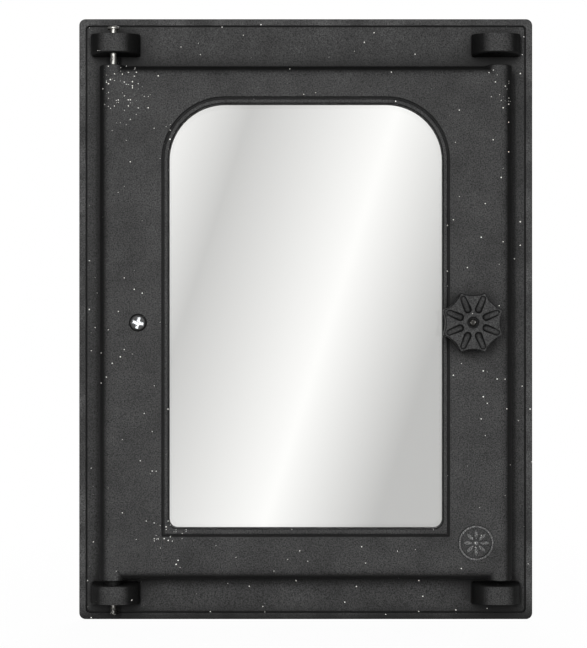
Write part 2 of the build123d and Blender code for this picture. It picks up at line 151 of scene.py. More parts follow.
class StoveGlassSettings(PropertyGroup):
    tint: colour("Tint", "Light that four millimetres of heat-proof glass let through", "#fbfbf9")
    # The card's colours paint the reflection streak that the pane seems to carry
    card_light: colour("Card, lit band", "Bright band of the card's painted reflection streak", "#ffffff")
    card_left: colour("Card, left", "Backdrop left of the band", "#c8c8c8")
    card_right: colour("Card, right", "Backdrop right of the band", "#bcbcbc")
    card_back: size("Card distance", "From the wall face back to the card", 300.0)
    card_size: size("Card size", "Width and height of the card", 1300.0)
    band_middle: size("Band middle", "Where the lit band crosses the frame's middle height", 21.0)
    band_reach: size("Band reach", "How far the light fades to the left of the band", 129.0)
    band_lean: FloatProperty(name="Band lean", description="Sideways run per height", default=0.325)


class StoveKnobSettings(PropertyGroup):
    tip_radius: size("Tip radius", "From the axis to the tips, before they are rounded", 20.65)
    tip_bevel: size("Tip bevel", "Width that the rounding takes from each side of a tip", 1.74)
    dip_radius: size("Dip radius", "From the axis to the middle of the hollow between tips", 17.3)
    dip_curve: size("Dip curve", "Radius of that hollow", 17.6)
    thickness: size("Thickness", "From the knob's face to its underside", 9.5)
    rim: size("Rim", "Rounding of the face's edge", 0.8)
    scoop_radius: size("Scoop radius", "Radius of the cutter that makes the scoops", 2.6)
    scoop_length: size("Scoop length", "Length of that cutter", 12.6)
    scoop_middle: size("Scoop middle", "From the axis to the middle of a scoop", 12.7)
    scoop_lift: size("Scoop lift", "From the face up to the cutter's middle", 1.15)
    recess_radius: size("Recess radius", "Radius of the recess round the spindle's end", 3.9)
    recess_depth: size("Recess depth", "Depth of that recess", 2.6)
    hub_flare: size("Hub flare", "Radius of the hub where it meets the petals", 10.5)
    hub_radius: size("Hub radius", "Radius of the hub at its foot", 7.5)


class StoveSmallPartSettings(PropertyGroup):
    head_height: size("Head height", "Height of the plug screw's head", 3.0)
    head_round: size("Head rounding", "Rounding of that head's edge", 0.9)
    shank_radius: size("Shank radius", "Radius of the plug screw's shank", 2.4)
    slot_length: size("Slot length", "Length of the cross recess in the plug screw", 7.4)
    slot_width: size("Slot width", "Width of that recess's arms", 2.1)
    slot_middle: size("Slot middle", "Width of the square hollow where the arms cross", 3.6)
    slot_depth: size("Slot depth", "Depth of that recess", 1.5)
    slot_reach: size("Slot reach", "How far from its middle the recess is bare metal", 4.0)
    pin_tail: size("Pin tail", "How far the lower pin shows below its lug", 7.6)
    pin_round: size("Pin rounding", "Rounding of that pin's ends", 1.2)
    lug_lean: size("Lug lean", "How far a lug's outer end leans out toward its root", 2.2)
    lug_rim: size("Lug rim", "Rounding of the lug's edges", 1.6)
    lug_half: size("Lug half width", "Half the width of the lug's leaning end", 15.98)
    lug_nose: size("Lug nose", "From the wall face out to the tip of that end", 23.48)
    lug_root: size("Lug root", "From the wall face out to where that end starts", 4.9)
    lug_start: size("Lug start", "Height inside the CAD lug where that end starts", 180.0)


class StoveSealSettings(PropertyGroup):
    rope: colour("Rope", "Knitted glass-fibre rope", "#cfcabd")
    tape: colour("Tape", "Woven glass-fibre tape", "#d9d6cb")
    stitch: size("Stitch", "Length of one knitted stitch", 2.4)
    thread: size("Thread", "Spacing of the tape's threads", 0.8)
    rope_corner: size("Rope corner", "Radius of the rope's middle line at the corners", 8.0)
    tape_width: size("Tape width", "From the glass's edge in to the tape's inner edge", 6.3)
    tape_arch: size("Tape arch", "Radius of the tape's opening at its upper corners", 38.0)
    tape_edge: size("Tape edge", "Rounding of the tape's edges", 0.4)


class StoveStageSettings(PropertyGroup):
    camera_distance: size("Camera distance", "From the wall face to the lens", 965.0)
    camera_height: size("Camera height", "Above the middle of the frame", -7.0)
    floor: colour("Floor", "Pale studio floor", "#e4e4e4")
    softbox: FloatProperty(
        name="Softbox", description="Power of the main softbox", default=26.0, unit="POWER"
    )


class StoveDoorSettings(PropertyGroup):
    paint: PointerProperty(type=StovePaintSettings)
    metal: PointerProperty(type=StoveMetalSettings)
    glass: PointerProperty(type=StoveGlassSettings)
    knob: PointerProperty(type=StoveKnobSettings)
    small: PointerProperty(type=StoveSmallPartSettings)
    seals: PointerProperty(type=StoveSealSettings)
    stage: PointerProperty(type=StoveStageSettings)


# Patterns that several materials share


def add_node(tree, kind, inputs=(), **settings):
    """Adds a node, gives it its settings, and sets its inputs or links them.

    The inputs are a dict by name or number, or a row in the node's own order. A node that is
    given as an input is linked by its first output in use.
    """
    node = tree.nodes.new(kind)
    for name, value in settings.items():
        setattr(node, name, value)
    for name, value in inputs.items() if isinstance(inputs, dict) else enumerate(inputs):
        if isinstance(value, bpy.types.Node):
            value = next(output for output in value.outputs if output.enabled)
        if isinstance(value, bpy.types.NodeSocket):
            tree.links.new(value, node.inputs[name])
        else:
            node.inputs[name].default_value = value
    return node


def new_material(name):
    """An empty material and its nodes."""
    material = bpy.data.materials.new(name)
    material.use_nodes = True
    tree = material.node_tree
    tree.nodes.clear()
    return material, tree


def dress(node_name, material):
    """Gives a CAD node its finish."""
    mesh = nodes[node_name].data
    mesh.materials.clear()
    mesh.materials.append(material)


def distance_from(tree, place, centre, stretch):
    """How far a point is from the centre, with each axis weighed by the stretch."""
    offset = add_node(tree, "ShaderNodeVectorMath", (place, centre), operation="SUBTRACT")
    scaled = add_node(tree, "ShaderNodeVectorMath", (offset, stretch), operation="MULTIPLY")
    return add_node(tree, "ShaderNodeVectorMath", (scaled,), operation="LENGTH")


def turned_out(tree):
    """1 on faces that look straight out of the wall or into it, and 0 on those that run along Y."""
    normal = add_node(tree, "ShaderNodeTexCoord").outputs["Normal"]
    across = add_node(tree, "ShaderNodeSeparateXYZ", (normal,)).outputs["Y"]
    return add_node(tree, "ShaderNodeMath", (across,), operation="ABSOLUTE")


def speck_zones():
    """Where dust has caught, by the pins and on the bead's shoulders: place, reach and stretch."""
    pin_low, pin_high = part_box("hinge_pin_top")
    leaf_low, leaf_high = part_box("door_leaf")
    pane_low, pane_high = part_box("glass_pane")
    front = leaf_low[1]
    return (
        ((pin_low[0] + 9 * MM, front, leaf_high[2] - 16 * MM), 30 * MM, (1.3, 0.5, 0.8)),
        ((leaf_high[0] - 6 * MM, front, leaf_high[2] - 14 * MM), 20 * MM, (1.5, 0.5, 0.8)),
        ((pane_low[0] + 17 * MM, front, pane_high[2] - 34 * MM), 20 * MM, (1, 0.5, 1)),
        ((pane_low[0] + 10 * MM, front, pane_low[2] + 6 * MM), 22 * MM, (1, 0.5, 1.6)),
    )


def speck_share(tree, place, settings):
    """1 on a scatter of pale specks: a few anywhere, and more in the zones.

    The cells don't change along Y, so faces that run along Y have none, or each would be a streak.
    """
    parts = add_node(tree, "ShaderNodeSeparateXYZ", (place,))
    flat = add_node(tree, "ShaderNodeCombineXYZ", (parts.outputs["X"], parts.outputs["Z"]))
    cells = add_node(
        tree,
        "ShaderNodeTexVoronoi",
        {"Vector": flat, "Scale": 1 / settings.speck_spacing},
        voronoi_dimensions="2D",
    )
    dice = add_node(tree, "ShaderNodeSeparateColor", (cells.outputs["Color"],))
    anywhere, in_a_zone = 0.006, 0.17
    chance = anywhere
    for centre, reach, stretch in speck_zones():
        away = distance_from(tree, place, centre, stretch)
        zone = add_node(
            tree,
            "ShaderNodeMapRange",
            (away, 0.0, reach, 1.0, 0.0),
            interpolation_type="SMOOTHSTEP",
        )
        chance = add_node(
            tree, "ShaderNodeMath", (zone, in_a_zone, chance), operation="MULTIPLY_ADD"
        )
    chosen = add_node(tree, "ShaderNodeMath", (dice.outputs[0], chance), operation="LESS_THAN")
    largest = 0.5 * settings.speck_width / settings.speck_spacing
    radius = add_node(tree, "ShaderNodeMath", (dice.outputs[1], largest), operation="MULTIPLY")
    inside = add_node(
        tree, "ShaderNodeMath", (cells.outputs["Distance"], radius), operation="LESS_THAN"
    )
    speck = add_node(tree, "ShaderNodeMath", (chosen, inside), operation="MULTIPLY")
    broad = add_node(tree, "ShaderNodeMath", (turned_out(tree), 0.5), operation="GREATER_THAN")
    return add_node(tree, "ShaderNodeMath", (speck, broad), operation="MULTIPLY")


def rim_share(tree, place, settings):
    """1 on the raised border of the flange, which takes a painted highlight."""
    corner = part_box("outer_frame")[1]
    parts = add_node(tree, "ShaderNodeSeparateXYZ", (place,))
    beyond = []
    for axis in (0, 2):
        away = add_node(tree, "ShaderNodeMath", (parts.outputs[axis],), operation="ABSOLUTE")
        inner = corner[axis] - settings.rim
        beyond.append(add_node(tree, "ShaderNodeMath", (away, inner), operation="GREATER_THAN"))
    return add_node(tree, "ShaderNodeMath", beyond, operation="MAXIMUM")


def roundel_share(tree, place, settings):
    """1 on the ring and the small leaves of the cast roundel, which stand proud of the leaf."""
    low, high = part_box("door_leaf")
    centre = (high[0] - settings.roundel_inset, 0, low[2] + settings.roundel_rise)
    away = distance_from(tree, place, centre, (1, 0, 1))
    depth = add_node(tree, "ShaderNodeSeparateXYZ", (place,)).outputs["Y"]
    proud = add_node(tree, "ShaderNodeMath", (depth, low[1] + 0.45 * MM), operation="LESS_THAN")
    inside = add_node(
        tree, "ShaderNodeMath", (away, settings.roundel_reach), operation="LESS_THAN"
    )
    return add_node(tree, "ShaderNodeMath", (proud, inside), operation="MULTIPLY")


def stripes(tree, value, pitch):
    """Waves from 0 to 1 along a length, one for each pitch."""
    turns = add_node(tree, "ShaderNodeMath", (value, 2 * math.pi / pitch), operation="MULTIPLY")
    wave = add_node(tree, "ShaderNodeMath", (turns,), operation="SINE")
    return add_node(tree, "ShaderNodeMath", (wave, 0.5, 0.5), operation="MULTIPLY_ADD")


def thread_cloth(tree, place, tint, height, relief):
    """Matt glass-fibre cloth: painted shade darkens it between its threads, with loose fibres that
    soften them.

    Real fibres are far too fine to show, so they are drawn a quarter of a millimetre wide.
    """
    fibre = add_node(tree, "ShaderNodeTexNoise", {"Vector": place, "Scale": 1 / (0.25 * MM)})
    # Painted shade: the low parts between threads are darkened to 0.35 of the tint
    between = add_node(tree, "ShaderNodeMapRange", (height, 0.0, 0.7, 0.35, 1.0))
    loose = add_node(tree, "ShaderNodeMapRange", (fibre, 0.3, 0.7, 0.8, 1.1))
    shade = add_node(tree, "ShaderNodeMath", (between, loose), operation="MULTIPLY")
    base = add_node(
        tree, "ShaderNodeVectorMath", {0: tint[:3], "Scale": shade}, operation="SCALE"
    )
    bump = add_node(
        tree, "ShaderNodeBump", {"Height": height, "Strength": 1.0, "Distance": relief}
    )
    shader = add_node(
        tree,
        "ShaderNodeBsdfPrincipled",
        {"Base Color": base, "Roughness": 0.9, "Sheen Weight": 0.3, "Normal": bump},
    )
    add_node(tree, "ShaderNodeOutputMaterial", {"Surface": shader})


# Materials


def stove_paint(settings):
    """Matt heat-proof paint on sand-cast iron: dark and dry, with the mould's grain in it.

    Faces that look straight out are greyer, and edges and flanks that turn away are near black:
    painted light and shade. Grooves and corners darken with painted shade, and the flange's
    raised rim and the roundel's raised ring and leaves carry painted highlights. Real moulding
    sand is finer, about 0.3 mm, and is drawn coarser to show.
    """
    material, tree = new_material("matt_black_paint_on_sand_cast_iron")
    place = add_node(tree, "ShaderNodeTexCoord").outputs["Object"]
    grit = add_node(
        tree,
        "ShaderNodeTexNoise",
        {"Vector": place, "Scale": 1 / settings.grit, "Detail": 4.0, "Roughness": 0.8},
    )
    cloud = add_node(
        tree,
        "ShaderNodeTexNoise",
        {"Vector": place, "Scale": 1 / (22 * MM), "Detail": 4.0, "Roughness": 0.6},
    )
    fine = add_node(tree, "ShaderNodeMapRange", (grit, 0.38, 0.62, 0.1, 2.0))
    broad = add_node(tree, "ShaderNodeMapRange", (cloud, 0.3, 0.7, 0.76, 1.24))
    tone = add_node(tree, "ShaderNodeMath", (fine, broad), operation="MULTIPLY")

    # Painted highlight on the flange's raised rim, broken into patches by the cloud noise
    patchy = add_node(tree, "ShaderNodeMapRange", (cloud, 0.4, 0.6))
    rubbed = add_node(
        tree, "ShaderNodeMath", (rim_share(tree, place, settings), patchy), operation="MULTIPLY"
    )
    face = add_node(
        tree,
        "ShaderNodeMix",
        {0: rubbed, 6: settings.field[:], 7: settings.rim_highlight[:]},
        data_type="RGBA",
    )
    # Painted highlight on the roundel's raised ring and leaves, broken up by fine noise
    crumbs = add_node(tree, "ShaderNodeTexNoise", {"Vector": place, "Scale": 1 / (0.9 * MM)})
    crumbly = add_node(tree, "ShaderNodeMapRange", (crumbs, 0.5, 0.62, 0.35, 1.0))
    roundel_lit = add_node(
        tree,
        "ShaderNodeMath",
        (roundel_share(tree, place, settings), crumbly),
        operation="MULTIPLY",
    )
    face = add_node(
        tree, "ShaderNodeMix", {0: roundel_lit, 6: face, 7: settings.raised[:]}, data_type="RGBA"
    )
    # Painted light and shade: faces that look straight out get the face colour, flanks that turn
    # away get the dark flank shade
    lit_face_share = add_node(
        tree,
        "ShaderNodeMapRange",
        (turned_out(tree), 0.74, 0.98),
        interpolation_type="SMOOTHSTEP",
    )
    tint = add_node(
        tree, "ShaderNodeMix", {0: lit_face_share, 6: settings.flank_shade[:], 7: face}, data_type="RGBA"
    )
    toned_with_flank_shade = add_node(tree, "ShaderNodeVectorMath", {0: tint, "Scale": tone}, operation="SCALE")

    # Painted shade: the occlusion node darkens grooves, corners and the flange beside the leaf
    # toward the corner shade
    shade_occlusion = add_node(
        tree, "ShaderNodeAmbientOcclusion", {"Distance": settings.shade_occlusion}, samples=12
    )
    unshaded = add_node(
        tree,
        "ShaderNodeMapRange",
        (shade_occlusion.outputs["AO"], 0.42, 0.92),
        interpolation_type="SMOOTHSTEP",
    )
    paint = add_node(
        tree, "ShaderNodeMix", {0: unshaded, 6: settings.corner_shade[:], 7: toned_with_flank_shade}, data_type="RGBA"
    )
    specks = speck_share(tree, place, settings)
    base = add_node(
        tree, "ShaderNodeMix", {0: specks, 6: paint, 7: settings.speck[:]}, data_type="RGBA"
    )
    bump = add_node(
        tree,
        "ShaderNodeBump",
        {"Height": grit, "Strength": 1.0, "Distance": settings.grit_height},
    )
    shader = add_node(
        tree,
        "ShaderNodeBsdfPrincipled",
        {
            "Base Color": base,
            "Roughness": add_node(tree, "ShaderNodeMapRange", (grit, 0.3, 0.7, 0.6, 0.74)),
            "IOR": 1.5,
            "Specular IOR Level": 0.2,
            "Normal": bump,
        },
    )
    add_node(tree, "ShaderNodeOutputMaterial", {"Surface": shader})
    return material


def oxide_metal(name, tint, oxide, cover, mark, roughness):
    """Steel with a dark skin in patches and fine marks of the tool, so that its shine breaks up.

    A lathe's real marks are finer than a pixel, and are drawn wider to show.
    """
    material, tree = new_material(name)
    place = add_node(tree, "ShaderNodeTexCoord").outputs["Object"]
    patches = add_node(
        tree,
        "ShaderNodeTexNoise",
        {"Vector": place, "Scale": 1 / (1.7 * MM), "Detail": 5.0, "Roughness": 0.7},
    )
    skin = add_node(
        tree,
        "ShaderNodeMapRange",
        (patches, 0.62 - cover, 0.72 - cover),
        interpolation_type="SMOOTHSTEP",
    )
    base = add_node(tree, "ShaderNodeMix", {0: skin, 6: tint, 7: oxide}, data_type="RGBA")
    squeeze = add_node(tree, "ShaderNodeVectorMath", (place, (1, 1, 6)), operation="MULTIPLY")
    line = add_node(
        tree, "ShaderNodeTexNoise", {"Vector": squeeze, "Scale": 1 / mark, "Detail": 1.0}
    )
    bump = add_node(
        tree, "ShaderNodeBump", {"Height": line, "Strength": 1.0, "Distance": 0.02 * MM}
    )
    rough = add_node(
        tree, "ShaderNodeMapRange", (patches, 0.35, 0.65, roughness - 0.08, roughness + 0.14)
    )
    shader = add_node(
        tree,
        "ShaderNodeBsdfPrincipled",
        {"Base Color": base, "Metallic": 1.0, "Roughness": rough, "Normal": bump},
    )
    add_node(tree, "ShaderNodeOutputMaterial", {"Surface": shader})
    return material


def zinc_plate(settings):
    """Zinc plating: pale and bluish, broken into crystals that shine a little differently."""
    material, tree = new_material("zinc_plated_steel")
    place = add_node(tree, "ShaderNodeTexCoord").outputs["Object"]
    crystal = add_node(
        tree, "ShaderNodeTexVoronoi", {"Vector": place, "Scale": 1 / settings.spangle}
    )
    pick = add_node(tree, "ShaderNodeSeparateColor", (crystal.outputs["Color"],))
    cloud = add_node(
        tree, "ShaderNodeTexNoise", {"Vector": place, "Scale": 1 / (9 * MM), "Detail": 4.0}
    )
    dull = add_node(tree, "ShaderNodeMapRange", (cloud, 0.42, 0.7))
    base = add_node(
        tree,
        "ShaderNodeMix",
        {0: dull, 6: settings.zinc[:], 7: settings.zinc_dull[:]},
        data_type="RGBA",
    )
    rough = add_node(tree, "ShaderNodeMapRange", (pick.outputs[0], 0.0, 1.0, 0.3, 0.46))
    shader = add_node(
        tree,
        "ShaderNodeBsdfPrincipled",
        {"Base Color": base, "Metallic": 1.0, "Roughness": rough},
    )
    add_node(tree, "ShaderNodeOutputMaterial", {"Surface": shader})
    return material


def driven_paint(settings, face, axis):
    """Painted screw head: matt black outside, and bare bright steel inside the cross recess."""
    material, tree = new_material("painted_steel_rubbed_bright_in_the_recess")
    place = add_node(tree, "ShaderNodeTexCoord").outputs["Object"]
    depth = add_node(tree, "ShaderNodeSeparateXYZ", (place,)).outputs["Y"]
    away = distance_from(tree, place, (axis.x, 0, axis.z), (1, 0, 1))
    sunk = add_node(tree, "ShaderNodeMath", (depth, face + 0.12 * MM), operation="GREATER_THAN")
    within = add_node(
        tree, "ShaderNodeMath", (away, settings.small.slot_reach), operation="LESS_THAN"
    )
    inside = add_node(tree, "ShaderNodeMath", (sunk, within), operation="MULTIPLY")
    wear = add_node(
        tree, "ShaderNodeTexNoise", {"Vector": place, "Scale": 1 / (0.9 * MM), "Detail": 3.0}
    )
    stained = add_node(tree, "ShaderNodeMapRange", (wear, 0.5, 0.66))
    steel = add_node(
        tree,
        "ShaderNodeMix",
        {0: stained, 6: settings.metal.zinc[:], 7: settings.metal.oxide[:]},
        data_type="RGBA",
    )
    bare = add_node(
        tree,
        "ShaderNodeBsdfPrincipled",
        {"Base Color": steel, "Metallic": 1.0, "Roughness": 0.5},
    )
    black = add_node(
        tree,
        "ShaderNodeMix",
        {0: wear, 6: settings.paint.head[:], 7: settings.paint.head_worn[:]},
        data_type="RGBA",
    )
    paint = add_node(tree, "ShaderNodeBsdfPrincipled", {"Base Color": black, "Roughness": 0.6})
    cover = add_node(tree, "ShaderNodeMixShader", (inside, paint, bare))
    add_node(tree, "ShaderNodeOutputMaterial", {"Surface": cover})
    return material


def knitted_rope(settings):
    """Knitted glass-fibre rope: stitches that cross in diamonds, so that it looks soft."""
    material, tree = new_material("knitted_glass_fibre_rope")
    place = add_node(tree, "ShaderNodeTexCoord").outputs["Object"]
    parts = add_node(tree, "ShaderNodeSeparateXYZ", (place,))
    crossing = [
        stripes(
            tree,
            add_node(
                tree,
                "ShaderNodeMath",
                (parts.outputs["X"], parts.outputs["Z"]),
                operation=direction,
            ),
            settings.stitch,
        )
        for direction in ("ADD", "SUBTRACT")
    ]
    height = add_node(tree, "ShaderNodeMath", crossing, operation="MAXIMUM")
    thread_cloth(tree, place, settings.rope[:], height, 0.5 * MM)
    return material


def woven_tape(settings):
    """Woven glass-fibre tape: a fine plain weave, flat and matt."""
    material, tree = new_material("woven_glass_fibre_tape")
    place = add_node(tree, "ShaderNodeTexCoord").outputs["Object"]
    parts = add_node(tree, "ShaderNodeSeparateXYZ", (place,))
    threads = [stripes(tree, parts.outputs[axis], settings.thread) for axis in ("X", "Z")]
    height = add_node(tree, "ShaderNodeMath", threads, operation="MULTIPLY")
    thread_cloth(tree, place, settings.tape[:], height, 0.15 * MM)
    return material


def stove_glass(settings):
    """Clear heat-proof glass, drawn flat: it shows what is behind it, and the pale streak in it is
    a painted reflection on the glowing card behind.
    """
    material, tree = new_material("clear_heat_proof_glass")
    shader = add_node(
        tree,
        "ShaderNodeBsdfPrincipled",
        {
            "Base Color": settings.tint[:],
            "Roughness": 0.0,
            "IOR": 1.5,
            "Transmission Weight": 1.0,
        },
    )
    add_node(tree, "ShaderNodeOutputMaterial", {"Surface": shader})
    return material


# Pieces


def middle(node_name):
    low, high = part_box(node_name)
    return (Vector(low) + Vector(high)) / 2


def own_mesh():
    """The object that is selected, with its place and size carried into its mesh."""
    bpy.ops.object.transform_apply(location=True, rotation=True, scale=True)
    return bpy.context.object


def rod(radius, depth, centre, turn=(math.pi / 2, 0, 0), vertices=64):
    """A cylinder, along Y unless it is turned."""
    bpy.ops.object.select_all(action="DESELECT")
    bpy.ops.mesh.primitive_cylinder_add(
        vertices=vertices, radius=radius, depth=depth, location=centre, rotation=turn
    )
    return own_mesh()


def block(centre, extent):
    bpy.ops.object.select_all(action="DESELECT")
    bpy.ops.mesh.primitive_cube_add(size=1, location=centre)
    bpy.context.object.scale = extent
    return own_mesh()


def copy_at(piece, place):
    """A copy with its own mesh, at the place that a matrix gives."""
    other = piece.copy()
    other.data = piece.data.copy()
    bpy.context.collection.objects.link(other)
    bpy.ops.object.select_all(action="DESELECT")
    other.select_set(True)
    bpy.context.view_layer.objects.active = other
    other.matrix_world = place
    return own_mesh()


def boolean(piece, other, operation="DIFFERENCE"):
    """Cuts the other object from the piece, or joins it on, and uses it up."""
    change = piece.modifiers.new("boolean", "BOOLEAN")
    change.operation = operation
    change.solver = "EXACT"
    change.object = other
    bpy.context.view_layer.objects.active = piece
    bpy.ops.object.modifier_apply(modifier=change.name)
    bpy.data.objects.remove(other)


def round_off(piece, width, segments=4):
    """Rounds the edges that are sharper than 60 degrees."""
    change = piece.modifiers.new("round", "BEVEL")
    change.width = width
    change.segments = segments
    change.limit_method = "ANGLE"
    change.angle_limit = math.radians(60)
    bpy.context.view_layer.objects.active = piece
    bpy.ops.object.modifier_apply(modifier=change.name)


def set_piece(piece, name, body, slot, material, *replaced):
    """Names a finished piece, gives it its finish, parents it to the body it rides on and hides the
    parts it stands for.
    """
    piece.name = name
    bpy.ops.object.select_all(action="DESELECT")
    piece.select_set(True)
    bpy.context.view_layer.objects.active = piece
    bpy.ops.object.shade_smooth_by_angle(angle=math.radians(35))
    piece.data.materials.clear()
    piece.data.materials.append(material)
    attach(piece, body)
    if replaced:
        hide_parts(*replaced)


# Operators


class STOVEDOOR_OT_paint_castings(Operator):
    """Paint the frame, the leaf and the knob's washer, and blacken the hinge washers"""

    bl_idname = "stove_door.paint_castings"
    bl_label = "Paint castings"

    def execute(self, context):
        settings = context.scene.stove_door
        paint = stove_paint(settings.paint)
        for name in ("outer_frame", "door_leaf", "knob_washer"):
            dress(name, paint)
        metal = settings.metal
        blacked = oxide_metal(
            "blackened_washer_steel", metal.blacking[:], metal.blacking_dark[:], 0.1, 1 * MM, 0.6
        )
        dress("hinge_washers", blacked)
        return {"FINISHED"}


class STOVEDOOR_OT_finish_metals(Operator):
    """Give the pins, the spindle and the fasteners their bare or plated metal"""

    bl_idname = "stove_door.finish_metals"
    bl_label = "Finish metals"

    def execute(self, context):
        metal = context.scene.stove_door.metal
        bright, dark, mark = metal.turned[:], metal.oxide[:], metal.turning_mark
        zinc = zinc_plate(metal)
        turned = oxide_metal("turned_bright_steel", bright, dark, 0.08, mark, 0.5)
        stained = oxide_metal("turned_steel_dark_with_oxide", bright, dark, 0.24, mark, 0.55)
        plate = oxide_metal("cut_steel_plate", metal.plate[:], dark, 0.1, 2 * mark, 0.5)
        dress("hinge_pin_top", turned)
        dress("latch_spindle", stained)
        dress("latch_tongue", plate)
        for name in (
            "glass_clip_upper_left",
            "glass_clip_upper_right",
            "glass_clip_lower_left",
            "glass_clip_lower_right",
            "clip_screws",
            "plug_washer",
            "plug_nut",
            "spring_washer",
            "spacer_sleeve",
            "tongue_washer",
            "latch_nuts",
        ):
            dress(name, zinc)
        return {"FINISHED"}


class STOVEDOOR_OT_cast_knob(Operator):
    """Cast the knob: eight rounded tips with hollows between them, and a scoop toward each tip"""

    bl_idname = "stove_door.cast_knob"
    bl_label = "Cast knob"

    def execute(self, context):
        settings = context.scene.stove_door.knob
        low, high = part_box("knob")
        axis = middle("knob")
        face, back = low[1], high[1]
        under = face + settings.thickness
        centre = Vector((axis.x, (face + under) / 2, axis.z))
        tips = 8
        step = 2 * math.pi / tips
        turn = (math.pi / 2, step / 2, 0)
        knob = rod(settings.tip_radius, settings.thickness, centre, turn, tips)
        bpy.ops.object.mode_set(mode="EDIT")
        bpy.ops.mesh.select_mode(type="EDGE")
        bpy.ops.mesh.select_all(action="DESELECT")
        bpy.ops.mesh.edges_select_sharp(sharpness=math.radians(60))
        bpy.ops.mesh.select_all(action="INVERT")
        bpy.ops.mesh.bevel(offset=settings.tip_bevel, segments=6, affect="EDGES")
        bpy.ops.object.mode_set(mode="OBJECT")

        out = settings.dip_radius + settings.dip_curve
        hollow = rod(settings.dip_curve, 2 * settings.thickness, (0, 0, 0), vertices=128)
        for tip in range(tips):
            away = Vector((out * math.cos(tip * step), 0, out * math.sin(tip * step)))
            boolean(knob, copy_at(hollow, Matrix.Translation(centre + away)))
        bpy.data.objects.remove(hollow)
        round_off(knob, settings.rim, segments=3)

        along = (0, math.pi / 2, 0)
        scoop = rod(settings.scoop_radius, settings.scoop_length, (0, 0, 0), along, vertices=32)
        round_off(scoop, 0.98 * settings.scoop_radius, segments=8)
        slope = math.radians(-7)
        for tip in range(tips):
            place = (
                Matrix.Translation((axis.x, face, axis.z))
                @ Matrix.Rotation((tip + 0.5) * step, 4, "Y")
                @ Matrix.Translation((settings.scoop_middle, -settings.scoop_lift, 0))
                @ Matrix.Rotation(slope, 4, "Z")
            )
            boolean(knob, copy_at(scoop, place))
        bpy.data.objects.remove(scoop)
        recess = rod(settings.recess_radius, 2 * settings.recess_depth, (axis.x, face, axis.z))
        boolean(knob, recess)

        overlap = 0.4 * MM
        bpy.ops.object.select_all(action="DESELECT")
        bpy.ops.mesh.primitive_cone_add(
            vertices=64,
            radius1=settings.hub_radius,
            radius2=settings.hub_flare,
            depth=back - under + overlap,
            location=(axis.x, (back + under - overlap) / 2, axis.z),
            rotation=(math.pi / 2, 0, 0),
        )
        boolean(knob, own_mesh(), "UNION")
        paint = bpy.data.materials["matt_black_paint_on_sand_cast_iron"]
        set_piece(knob, "petal_knob", "latch", "painted_iron", paint, "knob")
        return {"FINISHED"}


class STOVEDOOR_OT_lean_lugs(Operator):
    """Lean the outer end of each cast lug toward its root, as a pattern needs to leave the sand"""

    bl_idname = "stove_door.lean_lugs"
    bl_label = "Lean lugs"

    def execute(self, context):
        settings = context.scene.stove_door.small
        half, nose, root = settings.lug_half, settings.lug_nose, settings.lug_root
        low, high = settings.lug_start, lug_end + 2 * settings.lug_lean
        height, centre = high - low, (low + high) / 2
        straight = nose - half - root
        lug = rod(half, height, (0, half - nose, centre), (0, 0, 0), 96)
        web = block((0, -root - straight / 2, centre), (2 * half, straight, height))
        boolean(lug, web, "UNION")
        # what would stand behind the flange's face
        boolean(lug, block((0, 2 * half - root, centre), (4 * half, 4 * half, 2 * height)))
        slope = math.atan2(settings.lug_lean, nose - root)
        tall = 8 * settings.lug_lean
        spare = block((0, 0, tall / 2), (4 * half, 6 * half, tall))
        lean = Matrix.Rotation(slope, 4, "X")
        spare.matrix_world = Matrix.Translation((0, -nose, lug_end)) @ lean
        boolean(lug, spare)
        round_off(lug, settings.lug_rim, segments=5)

        paint = bpy.data.materials["matt_black_paint_on_sand_cast_iron"]
        for name, side, turn in (
            ("lug_end_upper_left", -1, 0),
            ("lug_end_upper_right", 1, 0),
            ("lug_end_lower_left", -1, math.pi),
            ("lug_end_lower_right", 1, math.pi),
        ):
            place = Matrix.Translation((side * lug_line, 0, 0)) @ Matrix.Rotation(turn, 4, "Y")
            set_piece(copy_at(lug, place), name, "frame", "painted_iron", paint)
        bpy.data.objects.remove(lug)
        return {"FINISHED"}


class STOVEDOOR_OT_drive_plug_screw(Operator):
    """Make the plug screw: a painted head whose cross recess a driver has rubbed bright"""

    bl_idname = "stove_door.drive_plug_screw"
    bl_label = "Drive plug screw"

    def execute(self, context):
        settings = context.scene.stove_door.small
        low, high = (Vector(corner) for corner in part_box("plug_screw"))
        axis = middle("plug_screw")
        back = low.y + settings.head_height
        head = rod((high.x - low.x) / 2, back - low.y, (axis.x, (low.y + back) / 2, axis.z))
        round_off(head, settings.head_round)
        start = back - 0.5 * MM
        shank = rod(settings.shank_radius, high.y - start, (axis.x, (high.y + start) / 2, axis.z))
        boolean(head, shank, "UNION")
        turn = math.radians(12)
        arm = (settings.slot_length, settings.slot_width)
        for angle, (length, width) in (
            (turn, arm),
            (turn + math.pi / 2, arm),
            (turn + math.pi / 4, (settings.slot_middle, settings.slot_middle)),
        ):
            cutter = block((0, 0, 0), (length, 2 * settings.slot_depth, width))
            place = Matrix.Translation((axis.x, low.y, axis.z))
            cutter.matrix_world = place @ Matrix.Rotation(angle, 4, "Y")
            boolean(head, cutter)
        paint = driven_paint(context.scene.stove_door, low.y, axis)
        set_piece(head, "cross_head_plug", "leaf", "painted_steel", paint, "plug_screw")
        return {"FINISHED"}


